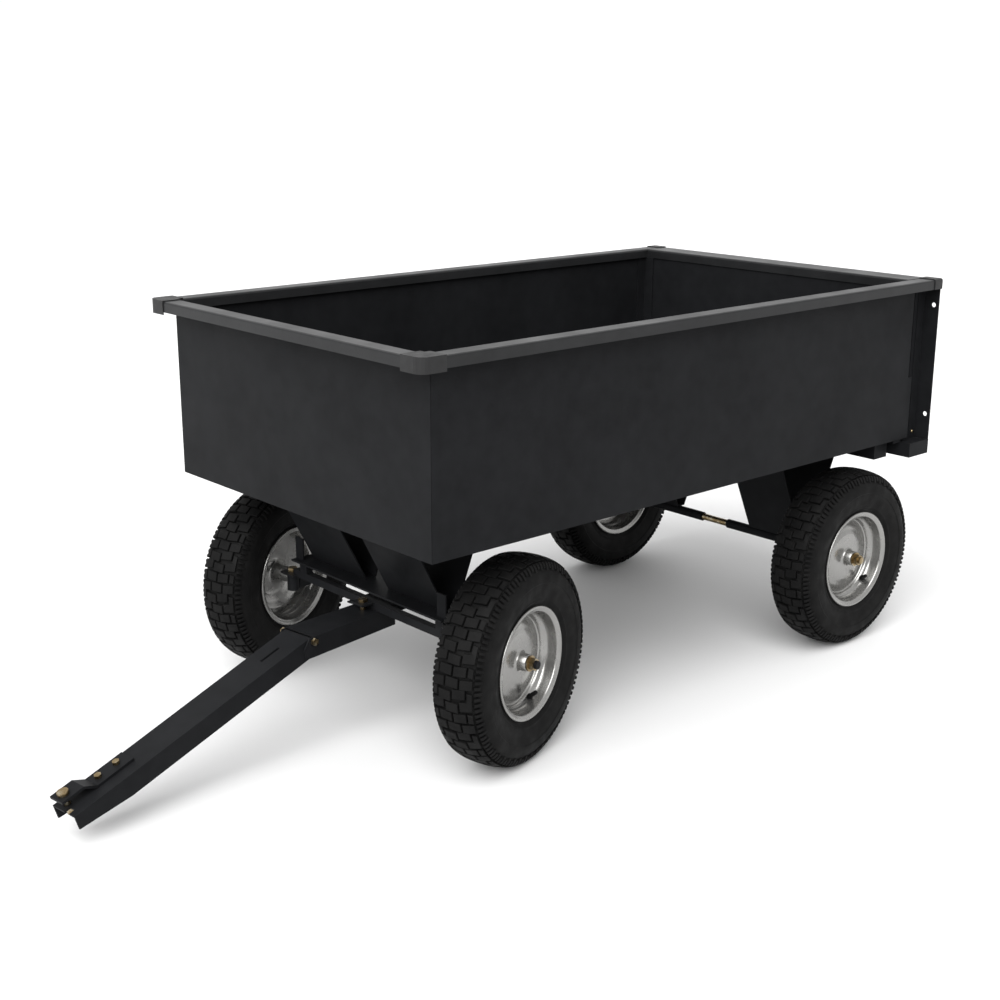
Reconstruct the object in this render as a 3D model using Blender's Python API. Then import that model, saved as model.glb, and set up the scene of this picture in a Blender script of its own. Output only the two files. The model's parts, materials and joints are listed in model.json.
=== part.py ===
"""Four-wheel garden cart: steel tub, slide-out tailgate, knuckle steering and a hinged tongue.

Metres, +Z up. The front (tongue) is towards -Y and the cart's own left side is +X. The origin is
on the ground, under the middle of the whole cart as it stands with its wheels and tongue turned.
"""
import bpy
import bmesh
from math import cos, pi, radians, sin
from mathutils import Matrix, Vector

# ---- driving dimensions ------------------------------------------------------------------------
GAP = 0.0003                      # left between pieces that touch
SHEET = 0.002                     # tub sheet metal
PLATE = 0.003                     # folded axle and tongue steel

TYRE_RADIUS = 0.2032              # 4.80/4.00-8 turf tyre, 16 in across
RIM_RADIUS = 0.1107               # outer edge of the rim's flanges
BORE_RADIUS = 0.0128              # hub tube's bore, which holds the bush
HUB_RADIUS = 0.0165
HUB_INNER = -0.038                # hub tube's ends, from the wheel's centre plane
HUB_OUTER = 0.040
AXLE_RADIUS = 0.008

TUB_HALF_WIDTH = 0.4084           # outside of the side panels
TUB_FRONT = -0.7223               # outside of the front panel
TUB_BOTTOM = 0.4587
FLOOR_TOP = TUB_BOTTOM + 2 * SHEET + GAP
FLANGE = 0.022                    # panels' inward folds under the floor
PANEL_TOP = 0.8180
PANEL_REAR = 0.690

RIM_TOP = 0.8223                  # the tub's folded top rail
RAIL_WIDTH = 0.0407
RAIL_HEIGHT = 0.0214
RAIL_OUTER_X = 0.4372
RAIL_FRONT_Y = -0.7638
RAIL_REAR_Y = 0.7070
TAILGATE_RAIL_FRONT = 0.6645
TAILGATE_RAIL_REAR = 0.7355
CAP_PROUD = 0.002                 # plastic caps stand this much proud of the rail
CAP_REACH = 0.055                 # front cap's length along each rail
CAP_DROP = 0.0285
END_CAP_REAR = 0.7355

POST_REAR_Y = 0.7400              # rear face of the tailgate posts
POST_FLANGE_X = 0.4325
SLOT_FRONT_Y = 0.6665             # the slot that the tailgate slides in
SLOT_REAR_Y = 0.6760
SLOT_LIP_X = 0.375
POST_WEB_X = 0.3960                # outer face of a post's web, set in from the side panel
POST_FRONT_Y = 0.640
POST_SHEET = 0.0025
TAILGATE_HALF = 0.3920

SILL_LOW = 0.418
SILL_HIGH = 0.4509
SILL_FRONT = 0.6700
SILL_REAR = 0.7450
SILL_HALF = 0.430

CROSS_LOW = 0.416                 # crossmember under the floor, over the rear axle's legs
CROSS_FRONT = 0.600
CROSS_REAR = 0.648

PIVOT_X = 0.281                   # kingpins of the two front knuckles
PIVOT_Y = -0.548
STEER_LEAD = 0.022                # tongue's steering bolt, ahead of the kingpins
SPINDLE_OUT = 0.0792              # wheel's centre plane, out from its kingpin
SPINDLE_BACK = 0.048              # spindle trails its kingpin by this much
ARM = 0.060                       # steering arm, kingpin to tie bar
WHEEL_SPIN = {"front_left": 22.5, "front_right": 67.5, "rear_left": 45.0, "rear_right": -22.5}
WHEEL_TURN = radians(15.9)        # the cart stands with its front wheels turned left
TONGUE_TURN = WHEEL_TURN / 2      # the tie bar turns the wheels twice as far as the tongue

BEAM_LOW = 0.2300
BEAM_HIGH = 0.2460
BEAM_FRONT = -0.558
BEAM_REAR = -0.542
BEAM_HALF = 0.262
BEAM_PLATE = 0.004                # end plates and steering tab
BOLSTER_LOW = 0.2703              # underside of the front bolster's base plate
BOLSTER_HALF = 0.219
ARM_LOW = 0.2235
ARM_HIGH = 0.2285
TIE_LOW = 0.2340
TIE_HIGH = 0.2390
YOKE_TOP = BEAM_LOW - GAP

YOKE_REAR = 0.058                 # behind the steering bolt
YOKE_REAR_HALF = 0.0330
YOKE_FRONT_HALF = 0.0400
YOKE_DEPTH = 0.041
YOKE_WING = 0.058                 # half width of the yoke's steering plate
HINGE_FORWARD = 0.1712            # tongue hinge, ahead of the steering bolt
HINGE_DROP = 0.009                # and below the yoke's top
DRAWBAR_TOP = 0.0085              # drawbar's top over its hinge
DRAWBAR_REAR_HALF = 0.0358
DRAWBAR_FRONT_HALF = 0.0322
DRAWBAR_DEPTH = 0.039
DRAWBAR_LENGTH = 0.5626
DRAWBAR_NOSE_DEPTH = 0.0277
DRAWBAR_HEEL = 0.0019             # heel's height over the hinge: it stops under the yoke's plate
JAW_GAP = 0.0155                  # under the hitch strap's raised end
STRAP_THICK = 0.005
STRAP_HALF = 0.018
STRAP_X = -0.011                  # the strap sits towards the drawbar's right side
NOTCH_X = 0.009                   # notch in the drawbar's front edge, beside the strap's pin
PIN_BACK = 0.016                  # hitch pin, back from the drawbar's front end

REAR_WHEEL_X = 0.370
REAR_AXLE_Y = 0.5127
SLEEVE_RADIUS = 0.011
SLEEVE_INNER_X = 0.040
SLEEVE_OUTER_X = 0.328

# ---- colours: red, green, blue, roughness, metallic ---------------------------------------------
PAINT = ("cart_paint", (0.028, 0.029, 0.031), 0.42, 0.0)
RAIL_PAINT = ("rail_paint", (0.050, 0.051, 0.053), 0.36, 0.0)
PLASTIC = ("cap_plastic", (0.030, 0.030, 0.031), 0.55, 0.0)
RUBBER = ("tyre_rubber", (0.018, 0.018, 0.018), 0.80, 0.0)
RIM_STEEL = ("rim_steel", (0.62, 0.62, 0.61), 0.32, 1.0)
ZINC = ("yellow_zinc", (0.62, 0.50, 0.24), 0.35, 1.0)
BUSH = ("bush_plastic", (0.10, 0.10, 0.10), 0.60, 0.0)


# ---- tools ---------------------------------------------------------------------------------------
def clear_scene():
    for old in list(bpy.data.objects):
        bpy.data.objects.remove(old, do_unlink=True)


def material(look):
    name, colour, roughness, metallic = look
    found = bpy.data.materials.get(name)
    if found:
        return found
    made = bpy.data.materials.new(name)
    made.use_nodes = True
    shader = made.node_tree.nodes["Principled BSDF"]
    shader.inputs["Base Color"].default_value = (*colour, 1.0)
    shader.inputs["Roughness"].default_value = roughness
    shader.inputs["Metallic"].default_value = metallic
    return made


def frame_empty(name, parent=None, at=(0, 0, 0), turn=(0, 0, 0)):
    empty = bpy.data.objects.new(name, None)
    bpy.context.collection.objects.link(empty)
    empty.parent = parent
    empty.location = at
    empty.rotation_euler = turn
    return empty


def add_object(name, bm, look, parent, at=(0, 0, 0), turn=(0, 0, 0), smooth=None):
    """Link a bmesh as a named object; smooth is the sharp-edge angle in degrees."""
    bmesh.ops.recalc_face_normals(bm, faces=bm.faces)
    mesh = bpy.data.meshes.new(name)
    bm.to_mesh(mesh)
    bm.free()
    if smooth:
        mesh.shade_smooth()
        mesh.set_sharp_from_angle(angle=radians(smooth))
    mesh.materials.append(material(look))
    piece = bpy.data.objects.new(name, mesh)
    bpy.context.collection.objects.link(piece)
    piece.parent = parent
    piece.location = at
    piece.rotation_euler = turn
    return piece


def box_mesh(low, high):
    bm = bmesh.new()
    middle = (Vector(low) + Vector(high)) / 2
    size = Vector(high) - Vector(low)
    bmesh.ops.create_cube(bm, size=1.0, matrix=Matrix.LocRotScale(middle, None, size))
    return bm


def loft_mesh(sections):
    """A solid through two or more outlines with the same number of points."""
    bm = bmesh.new()
    rings = [[bm.verts.new(point) for point in section] for section in sections]
    for ring, following in zip(rings, rings[1:]):
        count = len(ring)
        for i in range(count):
            j = (i + 1) % count
            bm.faces.new((ring[i], ring[j], following[j], following[i]))
    bm.faces.new(rings[0])
    bm.faces.new(reversed(rings[-1]))
    return bm


def prism_mesh(outline, axis, start, end):
    """Extrude an outline along an axis; it holds the other two coordinates in X, Y, Z order."""
    def point(pair, along):
        values = list(pair)
        values.insert("XYZ".index(axis), along)
        return tuple(values)
    return loft_mesh([[point(pair, along) for pair in outline] for along in (start, end)])


def sheet_outline(path, thickness):
    """The outline of folded sheet: one face follows the path, the other lies to its left."""
    points = [Vector(p) for p in path]
    steps = [(b - a).normalized() for a, b in zip(points, points[1:])]
    lefts = [Vector((-s.y, s.x)) for s in steps]
    other = [points[0] + lefts[0] * thickness]
    for i in range(1, len(points) - 1):
        mitre = (lefts[i - 1] + lefts[i]).normalized()
        other.append(points[i] + mitre * (thickness / mitre.dot(lefts[i])))
    other.append(points[-1] + lefts[-1] * thickness)
    return [tuple(p) for p in points] + [tuple(p) for p in reversed(other)]


def turned_mesh(profile, segments, axis="X"):
    """Turn a closed (along, radius) profile about an axis; it doesn't touch the axis."""
    bm = bmesh.new()
    rings = []
    for step in range(segments):
        angle = 2 * pi * step / segments - pi / 2
        ring = []
        for along, radius in profile:
            a, b = radius * cos(angle), radius * sin(angle)
            ring.append(bm.verts.new((along, a, b) if axis == "X" else (a, b, along)))
        rings.append(ring)
    for step in range(segments):
        ring, following = rings[step], rings[(step + 1) % segments]
        for i in range(len(profile)):
            j = (i + 1) % len(profile)
            bm.faces.new((ring[i], ring[j], following[j], following[i]))
    return bm


def rod_mesh(start, end, radius, segments=20, end_radius=None):
    """A solid rod or cone between two points."""
    start, end = Vector(start), Vector(end)
    along = end - start
    turn = along.to_track_quat("Z", "Y").to_matrix().to_4x4()
    bm = bmesh.new()
    bmesh.ops.create_cone(bm, cap_ends=True, segments=segments, radius1=radius,
                          radius2=radius if end_radius is None else end_radius,
                          depth=along.length,
                          matrix=Matrix.Translation((start + end) / 2) @ turn)
    return bm


def cutter(name, bm, parent=None):
    """A hidden solid for a Boolean."""
    piece = add_object(name, bm, PAINT, parent)
    piece.hide_render = True
    piece.display_type = "WIRE"
    return piece


def boolean(piece, other, operation):
    step = piece.modifiers.new(other.name, "BOOLEAN")
    step.operation = operation
    step.solver = "EXACT"
    step.object = other


def cut(piece, name, bm):
    boolean(piece, cutter(name, bm, piece.parent), "DIFFERENCE")


def join(piece, name, bm):
    boolean(piece, cutter(name, bm, piece.parent), "UNION")


def bolt(name, parent, at, shank_radius, shank_to, head_height, turn=(0, 0, 0), look=ZINC):
    """Hexagon bolt: head up from its own origin, shank down to shank_to (negative)."""
    head = 1.75 * shank_radius
    bm = rod_mesh((0, 0, 0), (0, 0, head_height), head, 6)
    piece = add_object(name, bm, look, parent, at, turn, smooth=30)
    shank = rod_mesh((0, 0, shank_to), (0, 0, head_height / 2), shank_radius, 16)
    other = cutter(name + "_shank", shank, parent)
    other.location = at
    other.rotation_euler = turn
    boolean(piece, other, "UNION")
    return piece


# ---- tub ------------------------------------------------------------------------------------------
def make_floor(root):
    half = TUB_HALF_WIDTH - 2 * SHEET - 0.0014
    low = (-half, TUB_FRONT + SHEET + GAP, TUB_BOTTOM + SHEET + GAP)
    high = (half, SLOT_FRONT_Y - POST_SHEET - GAP, FLOOR_TOP)
    add_object("bed_floor", box_mesh(low, high), PAINT, root)


def make_panels(root):
    inner = TUB_FRONT + SHEET + FLANGE
    fold = [(inner, TUB_BOTTOM), (TUB_FRONT, TUB_BOTTOM), (TUB_FRONT, PANEL_TOP)]
    outline = [(y, z) for y, z in sheet_outline(fold, -SHEET)]
    bm = prism_mesh(outline, "X", -TUB_HALF_WIDTH, TUB_HALF_WIDTH)
    front_panel = add_object("front_panel", bm, PAINT, root)
    for side, label in ((1, "left"), (-1, "right")):
        outer = side * TUB_HALF_WIDTH
        edge = sorted((outer - side * (SHEET + GAP), outer + side * 0.01))
        cut(front_panel, f"front_fold_{label}",
            box_mesh((edge[0], TUB_FRONT + SHEET, TUB_BOTTOM - 0.01),
                     (edge[1], inner + 0.01, TUB_BOTTOM + SHEET + 0.002)))
        fold = [(outer - side * (SHEET + FLANGE), TUB_BOTTOM), (outer, TUB_BOTTOM), (outer, PANEL_TOP)]
        outline = sheet_outline(fold, side * SHEET)
        front = TUB_FRONT + SHEET + GAP
        panel = add_object(f"side_panel_{label}", prism_mesh(outline, "Y", front, PANEL_REAR),
                           PAINT, root)
        lows = sorted((outer - side * SHEET, outer - side * 0.05))
        cut(panel, f"side_flange_front_{label}",
            box_mesh((lows[0], front - 0.01, TUB_BOTTOM - 0.01),
                     (lows[1], front + FLANGE + 0.002, TUB_BOTTOM + 0.01)))
        cut(panel, f"side_flange_rear_{label}",
            box_mesh((lows[0], 0.635, TUB_BOTTOM - 0.01), (lows[1], 0.80, TUB_BOTTOM + 0.01)))
        reach = sorted((outer - side * 0.01, outer + side * 0.01))
        cut(panel, f"side_step_{label}",
            box_mesh((reach[0], PANEL_REAR - 0.014, 0.600), (reach[1], 0.80, 0.90)))


def rail_outline(outer, inner):
    """Rail in section: an inverted channel with softened top edges; (across, height) pairs."""
    soft = 0.004 if inner > outer else -0.004
    low = RIM_TOP - RAIL_HEIGHT
    path = [(outer, low), (outer, RIM_TOP - 0.004), (outer + soft * 0.3, RIM_TOP - 0.0012),
            (outer + soft, RIM_TOP), (inner - soft, RIM_TOP),
            (inner - soft * 0.3, RIM_TOP - 0.0012), (inner, RIM_TOP - 0.004), (inner, low)]
    return sheet_outline(path, -SHEET if inner > outer else SHEET)


def make_rails(root):
    end = CAP_REACH - CAP_PROUD
    half = RAIL_OUTER_X - end
    outline = rail_outline(RAIL_FRONT_Y, RAIL_FRONT_Y + RAIL_WIDTH)
    add_object("top_rail_front", prism_mesh(outline, "X", -half, half), RAIL_PAINT, root, smooth=50)
    for side, label in ((1, "left"), (-1, "right")):
        outline = rail_outline(side * RAIL_OUTER_X, side * (RAIL_OUTER_X - RAIL_WIDTH))
        bm = prism_mesh(outline, "Y", RAIL_FRONT_Y + end, RAIL_REAR_Y)
        add_object(f"top_rail_{label}", bm, RAIL_PAINT, root, smooth=50)


def make_corner_caps(root):
    """Front corner caps: hollow plastic elbows, rounded outside, that sit where two rails meet."""
    top = RIM_TOP + CAP_PROUD
    low = top - CAP_DROP
    wall = 0.0025
    round_radius = 0.020
    outer_x = RAIL_OUTER_X + CAP_PROUD
    front_y = RAIL_FRONT_Y - CAP_PROUD
    inner_x = RAIL_OUTER_X - RAIL_WIDTH
    inner_y = RAIL_FRONT_Y + RAIL_WIDTH
    end_x = outer_x - CAP_REACH + GAP
    end_y = front_y + CAP_REACH - GAP
    for side, label in ((1, "left"), (-1, "right")):
        def plan(inset):
            corner = [(outer_x - round_radius + (round_radius - inset) * cos(a),
                       front_y + round_radius + (round_radius - inset) * sin(a))
                      for a in (radians(-15 * i) for i in range(7))]
            loop = [(outer_x - inset, end_y)] + corner + [(end_x, front_y + inset)]
            return [(side * x, y) for x, y in loop]
        outline = plan(0.0) + [(side * end_x, inner_y), (side * inner_x, inner_y),
                               (side * inner_x, end_y)]
        cap = add_object(f"corner_cap_front_{label}", prism_mesh(outline, "Z", low, top),
                         PLASTIC, root, smooth=40)
        skin = [(x, y) for x, y in plan(wall)]
        skin[0] = (skin[0][0], end_y + 0.01)
        skin[-1] = (side * (end_x - 0.01), skin[-1][1])
        hollow = skin + [(side * (end_x - 0.01), inner_y - wall),
                         (side * (inner_x + wall), inner_y - wall),
                         (side * (inner_x + wall), end_y + 0.01)]
        cut(cap, f"cap_hollow_{label}", prism_mesh(hollow, "Z", low - 0.01, top - wall))
        slit = 0.004
        xs = sorted((side * (TUB_HALF_WIDTH - SHEET - slit), side * (TUB_HALF_WIDTH + slit)))
        cut(cap, f"cap_side_slit_{label}",
            box_mesh((xs[0], TUB_FRONT - slit, low - 0.01), (xs[1], end_y + 0.01, PANEL_TOP + slit / 4)))
        xs = sorted((side * (end_x - 0.01), side * (TUB_HALF_WIDTH + slit)))
        cut(cap, f"cap_front_slit_{label}",
            box_mesh((xs[0], TUB_FRONT - slit, low - 0.01),
                     (xs[1], TUB_FRONT + SHEET + slit, PANEL_TOP + slit / 4)))


def make_end_caps(root):
    """Rear caps close the open ends of the side rails."""
    top = RIM_TOP + CAP_PROUD
    low = RIM_TOP - RAIL_HEIGHT
    for side, label in ((1, "left"), (-1, "right")):
        outer = side * (RAIL_OUTER_X + CAP_PROUD)
        inner = side * (RAIL_OUTER_X - RAIL_WIDTH)
        soft = side * 0.005
        outline = [(outer, low), (outer, top - 0.005), (outer - soft * 0.3, top - 0.0015),
                   (outer - soft, top), (inner, top), (inner, low)]
        bm = prism_mesh(outline, "Y", RAIL_REAR_Y + GAP, END_CAP_REAR)
        add_object(f"corner_cap_rear_{label}", bm, PLASTIC, root, smooth=50)


def make_posts(root):
    """Tailgate posts: a web set in from the side panel, a slot for the tailgate, an outer flange."""
    foot = TUB_HALF_WIDTH - SHEET - GAP
    web = POST_WEB_X - POST_SHEET
    for side, label in ((1, "left"), (-1, "right")):
        outline = [(foot, POST_FRONT_Y), (foot, SLOT_FRONT_Y), (POST_WEB_X, SLOT_FRONT_Y),
                   (POST_WEB_X, POST_REAR_Y - POST_SHEET), (POST_FLANGE_X, POST_REAR_Y - POST_SHEET),
                   (POST_FLANGE_X, POST_REAR_Y), (web, POST_REAR_Y), (web, SLOT_REAR_Y + POST_SHEET),
                   (SLOT_LIP_X, SLOT_REAR_Y + POST_SHEET), (SLOT_LIP_X, SLOT_REAR_Y),
                   (web, SLOT_REAR_Y), (web, SLOT_FRONT_Y), (SLOT_LIP_X, SLOT_FRONT_Y),
                   (SLOT_LIP_X, SLOT_FRONT_Y - POST_SHEET), (foot - POST_SHEET, SLOT_FRONT_Y - POST_SHEET),
                   (foot - POST_SHEET, POST_FRONT_Y)]
        outline = [(side * x, y) for x, y in outline]
        bm = prism_mesh(outline, "Z", SILL_HIGH + GAP, RIM_TOP - RAIL_HEIGHT - GAP)
        post = add_object(f"tailgate_post_{label}", bm, PAINT, root)
        for number, height in enumerate((0.762, 0.510)):
            hole = rod_mesh((side * 0.4195, 0.70, height), (side * 0.4195, 0.76, height), 0.0055, 20)
            cut(post, f"post_hole_{label}_{number}", hole)


def channel_member(name, root, front, rear, low, high, half):
    """Inverted channel across the cart, with welded end plates."""
    outline = sheet_outline([(front, low), (front, high), (rear, high), (rear, low)], -PLATE)
    member = add_object(name, prism_mesh(outline, "X", -half, half), PAINT, root)
    for side, label in ((1, "left"), (-1, "right")):
        ends = sorted((side * half, side * (half - PLATE)))
        join(member, f"{name}_end_{label}", box_mesh((ends[0], front, low), (ends[1], rear, high)))


def make_underframe(root):
    channel_member("rear_sill", root, SILL_FRONT, SILL_REAR, SILL_LOW, SILL_HIGH, SILL_HALF)
    channel_member("floor_crossmember", root, CROSS_FRONT, CROSS_REAR, CROSS_LOW,
                   TUB_BOTTOM + SHEET, TUB_HALF_WIDTH - SHEET - FLANGE - 2 * GAP)


def make_tailgate(body):
    low = SILL_HIGH + 2 * GAP
    front, rear = SLOT_FRONT_Y + 0.001, SLOT_REAR_Y - 0.001
    top = PANEL_TOP
    gate = add_object("tailgate_panel", box_mesh((-TAILGATE_HALF, front, low),
                                                 (TAILGATE_HALF, rear, top)), PAINT, body)
    cut(gate, "tailgate_pan",
        box_mesh((-TAILGATE_HALF + SHEET, front + SHEET, low + SHEET),
                 (TAILGATE_HALF - SHEET, rear + 0.01, top - SHEET)))
    outline = rail_outline(TAILGATE_RAIL_FRONT, TAILGATE_RAIL_REAR)
    half = RAIL_OUTER_X - RAIL_WIDTH - 0.001
    add_object("tailgate_rail", prism_mesh(outline, "X", -half, half), RAIL_PAINT, body, smooth=50)


# ---- axles ------------------------------------------------------------------------------------------
def vee_leg(name, root, feet, foot_z, tops, rear_z, flange, inner, outer):
    """Folded V-shaped leg, open at its ends; feet and tops are front and rear Y positions."""
    high = TUB_BOTTOM + SHEET - PLATE
    path = [(tops[0] - 0.018, high), (tops[0], high), (feet[0], foot_z),
            (feet[1], foot_z), (tops[1], rear_z), (tops[1] + flange, rear_z)]
    return add_object(name, prism_mesh(sheet_outline(path, PLATE), "X", inner, outer), PAINT, root)


def make_front_bolster(root):
    base = [(-0.572, BOLSTER_LOW), (-0.457, BOLSTER_LOW)]
    half = 0.248
    plate = prism_mesh(sheet_outline(base, BEAM_PLATE), "X", -half, half)
    bolster = add_object("front_bolster_base", plate, PAINT, root)
    foot = BOLSTER_LOW + BEAM_PLATE + GAP
    for side, label in ((1, "left"), (-1, "right")):
        ends = sorted((side * (half - 0.026), side * half))
        join(bolster, f"bolster_tab_{label}",
             box_mesh((ends[0], -0.560, BOLSTER_LOW), (ends[1], -0.556, 0.322)))
        inner, outer = sorted((side * 0.037, side * BOLSTER_HALF))
        vee_leg(f"front_bolster_leg_{label}", root, (-0.534, -0.508), foot, (-0.630, -0.436),
                TUB_BOTTOM + SHEET - PLATE, 0.018, inner, outer)


def make_front_beam(root):
    outline = sheet_outline([(BEAM_REAR, BEAM_HIGH), (BEAM_FRONT, BEAM_HIGH),
                             (BEAM_FRONT, BEAM_LOW), (BEAM_REAR, BEAM_LOW)], PLATE)
    beam = add_object("front_axle_beam", prism_mesh(outline, "X", -BEAM_HALF, BEAM_HALF), PAINT, root)
    plate_high = BEAM_LOW + BEAM_PLATE
    steer_y = PIVOT_Y - STEER_LEAD
    for side, label in ((1, "left"), (-1, "right")):
        pad = sorted((side * 0.214, side * 0.238))
        join(beam, f"beam_pad_{label}",
             box_mesh((pad[0], BEAM_FRONT, BEAM_HIGH - 0.001), (pad[1], BEAM_REAR, BOLSTER_LOW - GAP)))
        plate = sorted((side * 0.250, side * 0.298))
        join(beam, f"beam_end_{label}",
             box_mesh((plate[0], -0.568, BEAM_LOW), (plate[1], -0.531, plate_high)))
        at = (side * PIVOT_X, PIVOT_Y)
        cut(beam, f"kingpin_hole_{label}",
            rod_mesh((*at, BEAM_LOW - 0.01), (*at, BEAM_HIGH + 0.01), 0.0066, 20))
        bolt(f"kingpin_{label}", root, (*at, plate_high + GAP), 0.0063, 0.190 - plate_high, 0.008)
    tab = (BEAM_HIGH - BEAM_PLATE, BEAM_HIGH - 0.0002)
    join(beam, "steering_tab", box_mesh((-0.020, steer_y - 0.016, tab[0]), (0.020, BEAM_FRONT + 0.0015, tab[1])))
    cut(beam, "steering_pivot_hole",
        rod_mesh((0, steer_y, BEAM_LOW - 0.01), (0, steer_y, BEAM_HIGH + 0.01), 0.0062, 20))
    bolt("steering_pivot_bolt", root, (0, steer_y, tab[1] + GAP), 0.0058, -0.038, 0.006)


def make_knuckle(side, label, body):
    """Knuckle about its kingpin: sleeve, trailing block, spindle and steering arm in one forging."""
    sleeve = turned_mesh([(0.1925, 0.0068), (0.1925, 0.0125), (BEAM_LOW - GAP, 0.0125),
                          (BEAM_LOW - GAP, 0.0068)], 24, "Z")
    knuckle = add_object(f"knuckle_{label}", sleeve, PAINT, body, smooth=40)
    block = [(-0.011, 0.0090), (0.011, 0.0090), (0.011, SPINDLE_BACK + 0.010),
             (-0.011, SPINDLE_BACK + 0.010)]
    join(knuckle, f"knuckle_block_{label}", prism_mesh(block, "Z", 0.1935, 0.2155))
    tip = side * (SPINDLE_OUT + HUB_OUTER + 0.020)
    join(knuckle, f"spindle_{label}",
         rod_mesh((0, SPINDLE_BACK, TYRE_RADIUS), (tip, SPINDLE_BACK, TYRE_RADIUS), AXLE_RADIUS, 24))
    arm = [(-0.010, 0.0090), (0.010, 0.0090), (0.010, ARM + 0.004), (0.005, ARM + 0.010),
           (-0.005, ARM + 0.010), (-0.010, ARM + 0.004)]
    join(knuckle, f"steering_arm_{label}", prism_mesh(arm, "Z", ARM_LOW, ARM_HIGH))
    join(knuckle, f"arm_boss_{label}",
         rod_mesh((0, ARM, ARM_LOW + 0.001), (0, ARM, TIE_LOW - GAP), 0.0095, 20))
    cut(knuckle, f"tie_hole_{label}",
        rod_mesh((0, ARM, ARM_LOW - 0.03), (0, ARM, TIE_LOW + 0.01), 0.0055, 16))
    make_axle_nut(f"spindle_nut_{label}", side, side * (SPINDLE_OUT + HUB_OUTER + 0.001),
                  SPINDLE_BACK, body)


def make_axle_nut(name, side, inner, y, body):
    """Flanged nut on the end of a spindle or axle."""
    bore = AXLE_RADIUS + GAP
    washer = 0.003
    profile = [(0, bore), (0, 0.0155), (side * washer, 0.0155), (side * washer, bore)]
    nut = turned_mesh(profile, 24)
    piece = add_object(name, nut, ZINC, body, (inner, y, TYRE_RADIUS), smooth=40)
    hexagon = [(side * washer / 2, bore), (side * washer / 2, 0.0125), (side * 0.013, 0.0125),
               (side * 0.013, bore)]
    other = cutter(name + "_hexagon", turned_mesh(hexagon, 6), body)
    other.location = (inner, y, TYRE_RADIUS)
    boolean(piece, other, "UNION")
    cut(piece, name + "_bore",
        rod_mesh((inner - side * 0.01, y, TYRE_RADIUS), (inner + side * 0.03, y, TYRE_RADIUS), bore, 24))


def make_tie_bar(body):
    """Flat bar from arm to arm; its own origin is the left arm's pin. Studs are welded to it."""
    half = 0.010
    span = 2 * PIVOT_X
    setback = ARM - STEER_LEAD
    outline = [(half, -half), (half, half), (-PIVOT_X + 0.014, half), (-PIVOT_X + 0.014, setback + half),
               (-PIVOT_X - 0.014, setback + half), (-PIVOT_X - 0.014, half), (-span - half, half),
               (-span - half, -half)]
    bar = add_object("tie_bar", prism_mesh(outline, "Z", TIE_LOW, TIE_HIGH), PAINT, body)
    stud_high = TIE_HIGH + 0.004
    for label, x in (("left", 0.0), ("right", -span)):
        join(bar, f"tie_stud_{label}", rod_mesh((x, 0, ARM_LOW - 0.006), (x, 0, stud_high), 0.0050, 16))
    drive = (-PIVOT_X, setback)
    join(bar, "drive_stud", rod_mesh((*drive, YOKE_TOP - 0.010), (*drive, stud_high), 0.0050, 16))


def make_rear_axle(root):
    foot = TYRE_RADIUS + SLEEVE_RADIUS + GAP
    for side, label in ((1, "left"), (-1, "right")):
        inner, outer = sorted((side * 0.115, side * 0.268))
        vee_leg(f"rear_bolster_leg_{label}", root, (REAR_AXLE_Y - 0.012, REAR_AXLE_Y + 0.012), foot,
                (REAR_AXLE_Y - 0.123, CROSS_FRONT + 0.016), CROSS_LOW - GAP - PLATE, 0.030,
                inner, outer)
        profile = [(SLEEVE_INNER_X, AXLE_RADIUS + GAP), (SLEEVE_INNER_X, SLEEVE_RADIUS),
                   (SLEEVE_OUTER_X, SLEEVE_RADIUS), (SLEEVE_OUTER_X, AXLE_RADIUS + GAP)]
        sleeve = turned_mesh([(side * x, r) for x, r in profile], 24)
        add_object(f"rear_axle_sleeve_{label}", sleeve, PAINT, root, (0, REAR_AXLE_Y, TYRE_RADIUS),
                   smooth=40)
        make_axle_nut(f"rear_axle_nut_{label}", side, side * (REAR_WHEEL_X + HUB_OUTER + 0.001),
                      REAR_AXLE_Y, root)
    tip = REAR_WHEEL_X + HUB_OUTER + 0.020
    add_object("rear_axle", rod_mesh((-tip, 0, 0), (tip, 0, 0), AXLE_RADIUS, 24), ZINC, root,
               (0, REAR_AXLE_Y, TYRE_RADIUS), smooth=40)


# ---- wheels -----------------------------------------------------------------------------------------
def tyre_profile():
    outside = [(0.0400, 0.1022), (0.0418, 0.1125), (0.0530, 0.1300), (0.0555, 0.1560),
               (0.0505, 0.1850), (0.0453, 0.1951), (0.0310, 0.2008), (0.0, TYRE_RADIUS)]
    inside = [(0.0, 0.1930), (0.0430, 0.1820), (0.0480, 0.1560), (0.0360, 0.1060)]
    outer_loop = outside + [(-x, r) for x, r in reversed(outside[:-1])]
    inner_loop = [(-x, r) for x, r in reversed(inside[1:])] + inside
    return outer_loop + inner_loop


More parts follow.
